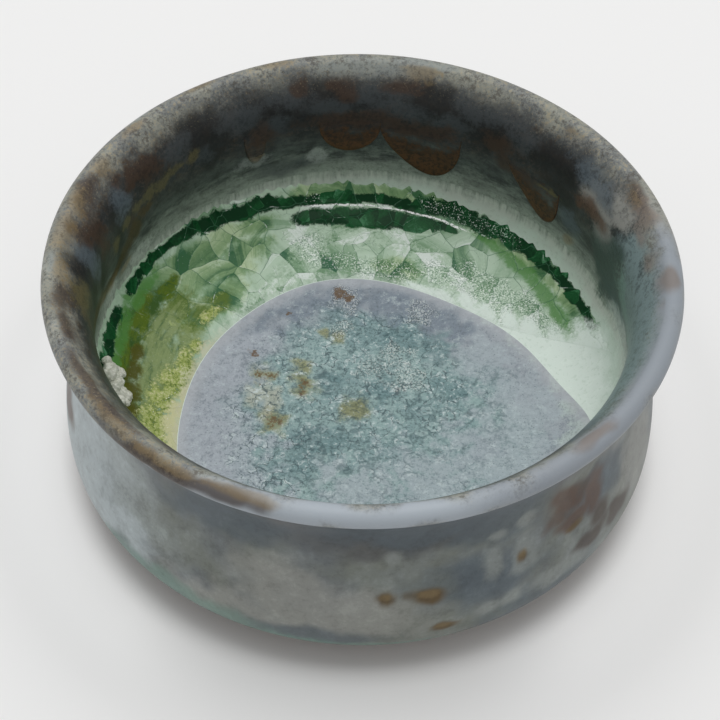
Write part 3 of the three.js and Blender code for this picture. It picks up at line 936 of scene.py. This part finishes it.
# Strokes on the glass: angle round the cup in degrees, distance below its upper edge in millimetres,
# and half the width and height in millimetres
glass_strokes = {
    "emerald": [
        (103, 2.5, 3, 0.9), (96, 2.4, 5, 0.9), (88, 2.3, 6, 0.9), (80, 2.3, 5, 0.9), (73, 2.1, 4, 0.9),
        # This row and the first stroke of the next are the dark band below the highlight: a painted
        # reflection of the dark wall over the glass's deep green
        (104, 5.3, 3, 1.3), (97, 5.6, 5, 1.3), (89, 5.4, 6, 1.3), (80, 4.9, 5, 1.2), (73, 4.3, 3, 0.8),
        (68, 4.1, 2, 0.5), (110, 2.2, 3, 0.9), (116, 1.8, 3, 1.3), (122, 1.9, 3.5, 1.3),
        (128, 1.8, 3.5, 1.2), (134, 1.2, 3.5, 0.9), (140, 1, 3, 0.7), (146, 0.9, 2.5, 0.6),
        (152, 1.1, 3, 0.8), (157, 1.5, 2.5, 1.1), (169, 1.6, 2.4, 1), (176, 2, 2.4, 1.2), (184, 2, 3, 1.2),
        (194, 1.8, 4, 1.2), (208, 1.4, 6, 1), (64, 1.3, 4, 1.3), (58, 1.1, 4, 1.2), (52, 1.1, 4, 1.1),
        (46, 1, 4, 1), (40, 0.9, 4, 1), (34, 0.8, 3.5, 0.9), (28, 1, 3.5, 1), (23, 0.9, 2.5, 0.9),
        (19, 1.1, 2, 0.8),
    ],
    "leaf": [
        (57, 3.3, 2.5, 0.4), (52, 3.5, 3, 0.65), (46, 3.7, 3.5, 0.95), (40, 3.9, 3.5, 1.05),
        (33, 4.2, 3.5, 1.05), (27, 4.3, 3, 0.9), (21, 4, 2.4, 0.65), (17, 3.7, 1.6, 0.35),
        (162, 2.2, 1.3, 1), (172, 3.6, 3, 1.2), (180, 3.4, 3, 1.2), (154, 3, 2.6, 1), (160, 3.2, 2.6, 1.2),
        (166, 2.8, 2.4, 1.3),
    ],
    "moss": [
        (152, 6, 3, 1.2), (158, 6, 3, 1.6), (160, 4.4, 3, 1.4), (167, 3.8, 3, 1.4), (165, 5.6, 3, 2),
        (172, 5.2, 3, 2.4), (180, 5, 3.5, 2.6), (188, 5.4, 4, 2.6), (198, 5.4, 5, 2.6), (210, 4.8, 6, 2.4),
        (225, 4, 6, 2),
    ],
    "fern": [
        (154, 9.6, 3.5, 2), (161, 9, 3.5, 3), (169, 10, 4, 3), (177, 10.6, 4, 3), (185, 10, 4, 2.6),
        (144, 13.2, 3, 1), (150, 12, 2.5, 1.2), (160, 13, 4, 2), (168, 13.4, 4, 1.6), (194, 9, 4, 2.4),
        (206, 8, 5, 2.4),
    ],
    "peat": [
        (174, 7, 1.6, 1.2), (180, 7.1, 2, 1.3), (186, 7.1, 2.4, 1.3), (193, 6.6, 3, 1.2), (202, 6, 4, 1),
    ],
    "froth": [
        (180, 12.6, 4, 1.8), (188, 11.4, 4, 2.2), (196, 10.2, 4, 2.6), (204, 10.2, 5, 2.4),
        (214, 9.4, 6, 2.4), (172, 13.8, 3.5, 1.2), (226, 8, 6, 2), (150, 13.4, 2.4, 0.8),
        (164, 14.4, 3, 0.8),
    ],
    # White frost near the disc, and at the back a painted sheen that pales the plates
    "frost_and_sheen": [
        (112, 13.4, 5, 2), (108, 7.6, 3, 1.8), (107, 10.6, 3.5, 2.6), (69, 11, 4, 2.4), (60, 13.2, 3, 1.2),
        (50, 12, 4, 1.4), (42, 11.4, 4, 1.4), (34, 10.4, 3, 1.2), (28, 9, 3, 1.4), (122, 14.8, 5, 0.9),
        (132, 15.3, 5, 0.7), (94, 8.6, 4, 1.6), (82, 8.4, 5, 1.6), (99, 8, 4, 2),
    ],
    "ivory": [(184, 14.6, 2.4, 0.9), (190, 13.4, 3, 1.2), (197, 12.6, 4, 1.4), (206, 12, 5, 1.2)],
    "pepper": [
        (72, 1.6, 3, 1.2), (66, 1.8, 4, 1.4), (60, 1.7, 4, 1.3), (54, 1.2, 4, 1), (103, 2.4, 1.4, 1),
    ],
    "static": [
        (54, 9.6, 4, 1.8), (46, 9, 5, 2), (40, 8.6, 5, 2), (32, 7.4, 4, 1.8), (25, 6.6, 3, 1.6),
        (38, 10.6, 4, 1.4), (46, 11, 4, 1.4), (57, 11.4, 3, 1.4), (90, 13.8, 5, 1.2), (82, 13.4, 5, 1.4),
        (76, 13.6, 4, 1.4), (97, 13.2, 4, 1.2), (64, 11.6, 4, 1.6), (106, 9.4, 3, 1.6), (106, 12, 3, 1.6),
    ],
    "milky": [
        (14, 3.6, 4, 2.4), (20, 6.4, 3, 1.2), (26, 8.6, 3, 1), (32, 10.6, 3, 0.9), (40, 12.3, 4, 0.8),
        (48, 13.2, 4, 0.8), (58, 14.2, 4, 0.7), (10, 2, 4, 3), (66, 14.6, 4, 0.5),
    ],
    "shade": [
        (120, 4.6, 3.5, 1.4), (128, 4.6, 4, 1.6), (136, 5.4, 4, 2), (143, 5.4, 4, 2.2), (150, 5, 3.5, 2.2),
        (142, 8.4, 5, 2.2), (150, 9, 3.5, 2), (132, 9.6, 5, 2.4), (124, 8, 4, 2), (156, 4, 3, 1.4),
        (104, 1, 4, 1), (96, 1, 5, 1), (88, 1, 5, 1), (80, 1, 5, 1), (72, 0.8, 4, 0.8), (152, 12.4, 4, 2),
        (140, 13, 5, 2), (55, 2.3, 4, 0.9), (46, 2.3, 4, 0.9), (37, 2.3, 4, 0.9), (28, 2.4, 3, 0.9),
        (77, 13, 5, 1.5),
    ],
}
# A painted highlight: a broken white line below the glass's upper edge, where a light glints on its curve
highlight_line = 3.35
highlight_wave = 1
highlight_from = 60
highlight_to = 107
highlight_fade = 2
mossy_from = 144
mossy_full = 160


def tooth(angle):
    """How far the broken edge of the glass reaches up at an angle: uneven saw teeth."""
    along = angle * basin_radius / tooth_size
    number = math.floor(along)
    size = abs(noise.cell(Vector((number + 0.5, 3.5, 0.5))))
    share = along - number
    peak = 0.25 + 0.5 * abs(noise.cell(Vector((number + 0.5, 8.5, 0.5))))
    return tooth_length * size * min(share / peak, (1 - share) / (1 - peak))


def glass_span(round_share):
    """Angle, upper edge, lower edge and fullness of the glass at a share of the way round."""
    angle = glass_from + (glass_to - glass_from) * round_share
    from_horn = min(angle - glass_from, glass_to - angle)
    taper = min(from_horn / horn_angle, 1)
    width = glass_horn + (1 - glass_horn) * math.sin(math.pi / 2 * taper)
    fullness = glass_horn + (1 - glass_horn) * math.sqrt(math.sin(math.pi * round_share)) * taper
    top = place_where(2, glass_height - glass_lean * math.cos(angle))
    foot = place_where(0, disc_reach(angle) + glass_to_disc)
    return angle, top, top + (foot - top) * width, fullness


spans = [glass_span(row / glass_rows) for row in range(glass_rows + 1)]


def glass_place(round_share, across, raised):
    angle, top, foot, fullness = spans[round(round_share * glass_rows)]
    bite = tooth_length / 2 - tooth(angle)
    distance = top + (foot - top) * across + bite * max(1 - across * tooth_reach, 0)
    swell = math.sin(math.pi * across) ** 0.8
    plate = noise.cell(Vector((angle * glass_radius, distance / mm, 0)) / plate_size)
    bulge = glass_edge + (glass_depth - glass_edge - plate_tilt * abs(plate)) * fullness * swell
    return inside(distance, angle, bulge if raised else glass_seat)


glass = patch("glass_crescent", glass_rows, glass_columns, glass_place)
spots = []
for share in glass.data.attributes["share"].data:
    angle, top, foot, fullness = spans[round(share.vector[0] * glass_rows)]
    spots.append((angle * glass_radius, (foot - top) * share.vector[1] / mm, share.vector[1]))
spots = np.array(spots)
store(glass, "crackle", spots, "FLOAT_VECTOR", "vector")
brushed(glass, np.degrees(spots[:, 0] / glass_radius), spots[:, 1], glass_strokes, glass_looseness)
made_by_hand(glass)
shader, place = finish(glass, "crackled glass")
shader.inputs["Specular IOR Level"].default_value = glass_specular
crackle = place.stored("crackle", "Vector")
along = crackle.node("SeparateXYZ", {}, {"Vector": crackle}, "X")
down = along.beside("Y")
across = along.beside("Z")
ragged = place.clouds(1.4 * mm, 6, 0.68)
fine = place.clouds(0.4 * mm, 4, 0.75)
glints_and_specks = place.moved((0.1, 0, 0)).clouds(0.2 * mm, 1)
bent = crackle.moved(place.clouds(6 * mm, 2).beside("Color").stretched((glass_bend, glass_bend, 0)))
streaks = crackle.stretched((0.28, 1.3, 0)).clouds(1.1, 5, 0.65)


def broken(space, size):
    """Glass broken into plates: a tone, a slant and a streak for each plate, and distance to its edge."""
    colour = space.cells(size, dimensions="2D", result="Color")
    tone = colour.node("SeparateColor", {}, {"Color": colour}, "Red")
    offset = space.node("VectorMath", {"operation": "SUBTRACT"}, {0: space, 1: colour.beside("Position")})
    level = offset.node("SeparateXYZ", {}, {"Vector": offset}, "X")
    tipped = level * (tone.beside("Green") - 0.5) + level.beside("Y") * (tone.beside("Blue") - 0.5)
    slant = tipped * (2 / size)
    inputs = {"W": slant * 3 + tone * 50, "Scale": 1, "Detail": 5, "Roughness": 0.7}
    streak = tone.node("TexNoise", {"noise_dimensions": "1D"}, inputs)
    return tone, slant, streak, space.cells(size, "DISTANCE_TO_EDGE", "2D")


def glass_mask(brush, mix, low, high):
    return place.stored(brush).worn(mix, low, high)


def along_at(degrees):
    """Distance along the crackle of an angle round the cup."""
    return math.radians(degrees) * glass_radius


plate_tone, plate_slant, plate_streak, plate_edge = broken(bent, plate_size)
shards = bent.stretched((1, 0.7, 0)).moved((3, 1, 0))
shard_tone, shard_slant, shard_streak, shard_edge = broken(shards, shard_size)
hairline = bent.moved((7, 3, 0)).cells(hairline_size, "DISTANCE_TO_EDGE", "2D")

mossy_end = along.between(along_at(mossy_from), along_at(mossy_full))
plated = 1 - mossy_end * 0.8
# Frost near the disc; at the back the same strokes paint a sheen on the plates
frost_and_sheen_mask = glass_mask("frost_and_sheen", (shard_tone - 0.5) * 0.4 + (fine - 0.5) * 2 + (ragged - 0.5) * 2, 0.2, 0.9)
shade_mask = glass_mask("shade", (ragged - 0.5) * 2, 0, 1)
clear = 0.6 + ((plate_tone - 0.5) * 0.55 + plate_slant * 0.6 + (plate_streak - 0.5) * 0.9) * plated
sparkle = ((fine - 0.5) * 0.7 + (ragged - 0.5) * 0.7) * (0.35 + 0.65 * frost_and_sheen_mask)
clear = clear + sparkle + frost_and_sheen_mask * 0.3 - shade_mask * 0.45
colour = clear.between(-0.1, 0.35).blend(deep_green, sage_green)
colour = clear.between(0.25, 0.75).blend(colour, celadon)
colour = clear.between(0.75, 1.15).blend(colour, frost_and_sheen)
fern_mask = glass_mask("fern", (plate_tone - 0.5) * 0.3 + (ragged - 0.5) * 2, 0, 0.9)
colour = shade_mask.blend(colour, colour.tint(1, warm))
ferny = (clear + (fine - 0.5) + (streaks - 0.5) * 3).between(0, 0.8).blend(moss, fern)
ferny = (streaks.between(0.47, 0.36) * 0.7).blend(ferny, fir)
ferny = (fine * 0.4 + ragged * 0.6).between(0.54, 0.68).blend(ferny, lime)
colour = (fern_mask * 0.85).blend(colour, ferny)
moss_mask = glass_mask("moss", (plate_tone - 0.5) * 0.3 + (ragged - 0.5) * 2, 0.1, 0.8)
mossy = (ragged * 0.5 + streaks * 0.5 + (plate_streak - 0.5) * 0.5).between(0.4, 0.56).blend(fir, moss)
mossy = ((fine * 0.4 + ragged * 0.6 + plate_slant * 0.1).between(0.56, 0.72) * 0.7).blend(mossy, lime)
colour = moss_mask.blend(colour, mossy)
colour = (glass_mask("peat", (ragged - 0.5) * 2, 0.1, 0.8) * 0.9).blend(colour, peat)
froth_mask = glass_mask("froth", (fine - 0.5) * 2 + (ragged - 0.5) * 2, 0.2, 0.9)
frothy = (fine * 0.6 + ragged * 0.4).between(0.4, 0.52).blend(moss, lime)
frothy = (fine * 0.7 + ragged * 0.3).between(0.5, 0.64).blend(frothy, butter)
colour = froth_mask.blend(colour, frothy)
static_mask = glass_mask("static", (ragged - 0.5) * 2.4, 0.1, 0.9)
colour = (static_mask * glints_and_specks.between(0.5, 0.38) * 0.6).blend(colour, deep_green)
colour = (static_mask * glints_and_specks.between(0.54, 0.66) * 0.6).blend(colour, snow)
leafy = (fine - 0.5) * 1.2 + (ragged - 0.5) * 1.6 + (plate_streak - 0.5) * 1.2
colour = (glass_mask("leaf", leafy, 0, 0.9) * 0.85).blend(colour, leaf)

dark = 0.06 + (shard_tone - 0.5) * 1.1 + shard_slant * 0.8 + (shard_streak - 0.5) * 0.9 + (fine - 0.5) * 1.2
fringe = dark.between(-0.1, 0.5).blend(bottle, emerald)
fringe = dark.between(0.5, 1).blend(fringe, jade)
fringe = dark.between(1, 1.4).blend(fringe, sea_green)
# Dark green of the teeth at the upper edge, and below the highlight a painted reflection of the dark wall
deep = glass_mask("emerald", (shard_tone - 0.5) * 0.6 + (fine - 0.5), 0.2, 0.55)
colour = deep.blend(colour, fringe)
shard_line = ragged.between(0.52, 0.6).blend(bottle, jade)
colour = (shard_edge.between(0.035, 0.01) * deep * 0.5).blend(colour, shard_line)
pepper_mask = glass_mask("pepper", (ragged - 0.5) * 3, 0.3, 0.8)
colour = (pepper_mask * glints_and_specks.between(0.54, 0.42)).blend(colour, bottle)
colour = (pepper_mask * glints_and_specks.between(0.6, 0.7) * 0.8).blend(colour, frost_and_sheen)

cracks = plate_edge.between(0.02, 0.006) * (1 - frost_and_sheen_mask * 0.7) * plated
colour = (cracks * 0.6).blend(colour, ragged.between(0.54, 0.62).blend(deep_green, frost_and_sheen))
hairs = hairline.between(0.025, 0.008) * (1 - deep) * ragged.between(0.47, 0.55) * plated
colour = (hairs * 0.5).blend(colour, deep_green)
grains = frost_and_sheen_mask.most(froth_mask).most(static_mask)
colour = glass_mask("ivory", (fine - 0.5) * 2 + (ragged - 0.5), 0.1, 0.9).blend(colour, butter)
margin = (across + (ragged - 0.5) * 0.3 + (fine - 0.5) * 0.3).between(0.9, 1.02)
colour = (margin * (0.35 + 0.45 * mossy_end)).blend(colour, mossy_end.blend(frost_and_sheen, ivory))
# Painted glints: white specks, mostly on the frosty and frothy glass
colour = (glints_and_specks.between(0.7, 0.78) * (0.15 + 0.85 * grains) * (1 - deep)).blend(colour, snow)
wave = down - highlight_line - (ragged - 0.5) * highlight_wave
start = along_at(highlight_from)
end = along_at(highlight_to)
window = along.between(start, start + highlight_fade) * along.between(end, end - highlight_fade)
painted_highlight = (wave * wave).between(0.035, 0.012) * window * fine.between(0.41, 0.49)
# The painted highlight, in white
colour = painted_highlight.blend(colour, snow)
milky_mask = glass_mask("milky", (ragged - 0.5) + (fine - 0.5) * 1.6, 0, 1)
colour = milky_mask.blend(colour, milk)
colour.feed(shader, "Base Color")
(0.06 + 0.25 * grains).feed(shader, "Roughness")
relief = plate_edge.between(0, 0.05) * 0.3 + plate_slant * 0.4
relief += grains * fine * 0.6 + shard_slant * deep * 0.5
relief.bump(0.16 * mm, 0.6).feed(shader, "Normal")
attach(glass, "root")
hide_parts("glass_pool")

# Kiln froth: a crust of white bubbles that boiled up at the left end of the glass and froze there,
# like a small head of cauliflower.
froth_count = 90
froth_bubble = 0.8 * mm
froth_voxel = 0.12 * mm
froth_start = (183, 22.6 * mm)
froth_end = (190, 25.6 * mm)
froth_spread = 1.8 * mm
froth_thickest = 0.45
froth_lift = 1.15 * mm
froth_grain = 0.5 * mm
froth_relief = 0.12 * mm
froth_white = (0.72, 0.73, 0.64, 1)
froth_grey = (0.54, 0.55, 0.46, 1)
bubbles = []
for number in range(froth_count):
    share = scatter.random()
    angle = math.radians(froth_start[0] + (froth_end[0] - froth_start[0]) * share)
    distance = froth_start[1] + (froth_end[1] - froth_start[1]) * share
    spread = froth_spread * (1 - abs(share - froth_thickest))
    angle += scatter.uniform(-1, 1) * spread / basin_radius
    distance += scatter.uniform(-1, 1) * spread
    middle = inside(distance, angle, froth_lift + scatter.uniform(-0.3, 0.45) * mm)
    bpy.ops.object.select_all(action="DESELECT")
    size = froth_bubble * scatter.uniform(0.6, 1)
    bpy.ops.mesh.primitive_ico_sphere_add(subdivisions=2, radius=size, location=middle)
    bubbles.append(bpy.context.object)
for bubble in bubbles:
    bubble.select_set(True)
bpy.ops.object.join()
kiln_froth = bpy.context.object
kiln_froth.name = "kiln_froth"
bpy.ops.object.transform_apply(location=True, rotation=True, scale=True)
kiln_froth.data.remesh_voxel_size = froth_voxel
bpy.ops.object.voxel_remesh()
for vertex in kiln_froth.data.vertices:
    vertex.co += vertex.normal * noise.noise(vertex.co / froth_grain) * froth_relief
made_by_hand(kiln_froth)
shader, place = finish(kiln_froth, "white froth")
fine = place.clouds(0.4 * mm, 3)
fine.between(0.42, 0.58).blend(froth_grey, froth_white).feed(shader, "Base Color")
(0.35 + 0.3 * fine).feed(shader, "Roughness")
fine.bump(0.1 * mm, 0.5).feed(shader, "Normal")
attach(kiln_froth, "root")

# Iron runs: drips of iron-rich glaze that slid down the inside wall and froze as thick brown lobes.
# Their upper ends melt into the wall's own glaze.
run_length = 7 * mm
run_width = 6 * mm
run_depth = 0.45 * mm
run_edge = 0.02 * mm
run_round = 0.42
run_rows = 56
run_columns = 40

# Each run: its angle, its start, length and width as shares of the usual run, how far its lobe leans,
# and how strong its brown is
runs = [
    (117, -0.19, 0.8, 0.55, 1, 0.4), (94, -0.1, 0.78, 1.4, 1, 1), (77, 0, 1.18, 1.9, 1.5, 1),
    (47, 0.06, 1, 1.5, 2, 1),
]
run_brown = (0.06, 0.03, 0.012, 1)
run_rust = (0.1, 0.045, 0.016, 1)
run_black = (0.02, 0.013, 0.008, 1)
for number, (middle, start, long, wide, lean, strength) in enumerate(runs, 1):

    def run_place(round_share, across, raised):
        hang = max(math.sin(math.pi * round_share**lean), 0) ** run_round
        distance = travelled[mark["inner neck"]] + run_length * (start + long * hang * across)
        angle = math.radians(middle) + (0.5 - round_share) * run_width * wide / inner_neck.x
        dome = hang * across**0.8 * math.sqrt(1 - across**8)
        return inside(distance, angle, run_edge + (run_depth - run_edge) * dome if raised else 0)

    run = patch(f"iron_run_{number}", run_rows, run_columns, run_place)
    brushed(run, *measured(run), strokes, wall_looseness)
    made_by_hand(run)
    shader, place, colour = wall_glaze(run, f"iron run {number}")
    ragged = place.clouds(2 * mm, 6, 0.65)
    fine = place.clouds(0.5 * mm, 4, 0.7)
    share = place.stored("share", "Vector")
    low = share.node("SeparateXYZ", {}, {"Vector": share}, "Y")
    iron = (low + (ragged - 0.5) * 2).between(0.5, 1).blend(run_brown, run_rust)
    iron = (fine.between(0.52, 0.4) * 0.7).blend(iron, run_black)
    iron = (fine.between(0.55, 0.66) * 0.5).blend(iron, run_rust)
    burnt = (low + (ragged - 0.5) * 1.6).between(0.1, 0.5) * strength
    burnt.blend(colour, iron).feed(shader, "Base Color")
    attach(run, "root")
    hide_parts(f"iron_run_{number}")

# Setting: a plain pale table, one large soft lamp high above the cup and a little behind it, and an
# even pale room. The table glows a little to the eye, apart from where the cup shades it.
table_size = 4
table_pale = (0.76, 0.76, 0.755, 1)
shadow_edge = 35.5 * mm
shadow_end = 39.5 * mm
glow_end = 50 * mm
front_width = 1 * mm
side_width = 11 * mm
front_glow = 0.13
side_glow = 0.25
far_glow = 0.12
lamp_place = Vector((0, 0.08, 0.5))
lamp_size = 0.45
lamp_power = 1.35
room_level = 0.56
camera_place = Vector((0, -0.144478, 0.18202))
camera_turn = (40.63, -1.029, 1.219)
camera_lens = 88.17

bpy.ops.object.select_all(action="DESELECT")
bpy.ops.mesh.primitive_plane_add(size=table_size)
table = bpy.context.object
table.name = "table"
shader, place = finish(table, "pale table")
shader.inputs["Base Color"].default_value = table_pale
shader.inputs["Roughness"].default_value = 0.8
shader.inputs["Emission Strength"].default_value = 1
ray = place.node("LightPath", {}, {}, "Is Camera Ray")
seen = ray.most(ray.beside("Is Glossy Ray")).most(ray.beside("Is Transmission Ray"))
reach = place.node("VectorMath", {"operation": "LENGTH"}, {0: place}, "Value")
toward = place.node("SeparateXYZ", {}, {"Vector": place}, "Y") + reach
# The painted glow rises just outside the cup's shadow, more at the sides than in front, and falls off
# further away, which keeps the shadow narrow
near_glow = front_glow + toward.between(front_width, side_width) * (side_glow - front_glow)
rise = reach.between(shadow_edge, shadow_end)
lift = rise * near_glow - reach.between(shadow_end, glow_end) * (near_glow - far_glow)
(seen * lift).blend((0, 0, 0, 1), (1, 1, 1, 1)).feed(shader, "Emission Color")

bpy.ops.object.light_add(type="AREA", location=lamp_place)
lamp = bpy.context.object
lamp.data.size = lamp_size
lamp.data.energy = lamp_power
lamp.rotation_euler = lamp_place.to_track_quat("Z", "Y").to_euler()

world = bpy.data.worlds.new("room")
bpy.context.scene.world = world
world.use_nodes = True
world.node_tree.nodes["Background"].inputs["Strength"].default_value = room_level
world.node_tree.nodes["Background"].inputs["Color"].default_value = (1, 1, 1, 1)

bpy.ops.object.camera_add(location=camera_place, rotation=[math.radians(turn) for turn in camera_turn])
camera = bpy.context.object
camera.data.lens = camera_lens
camera.data.clip_start = mm
bpy.context.scene.camera = camera
bpy.context.scene.view_settings.view_transform = "Standard"
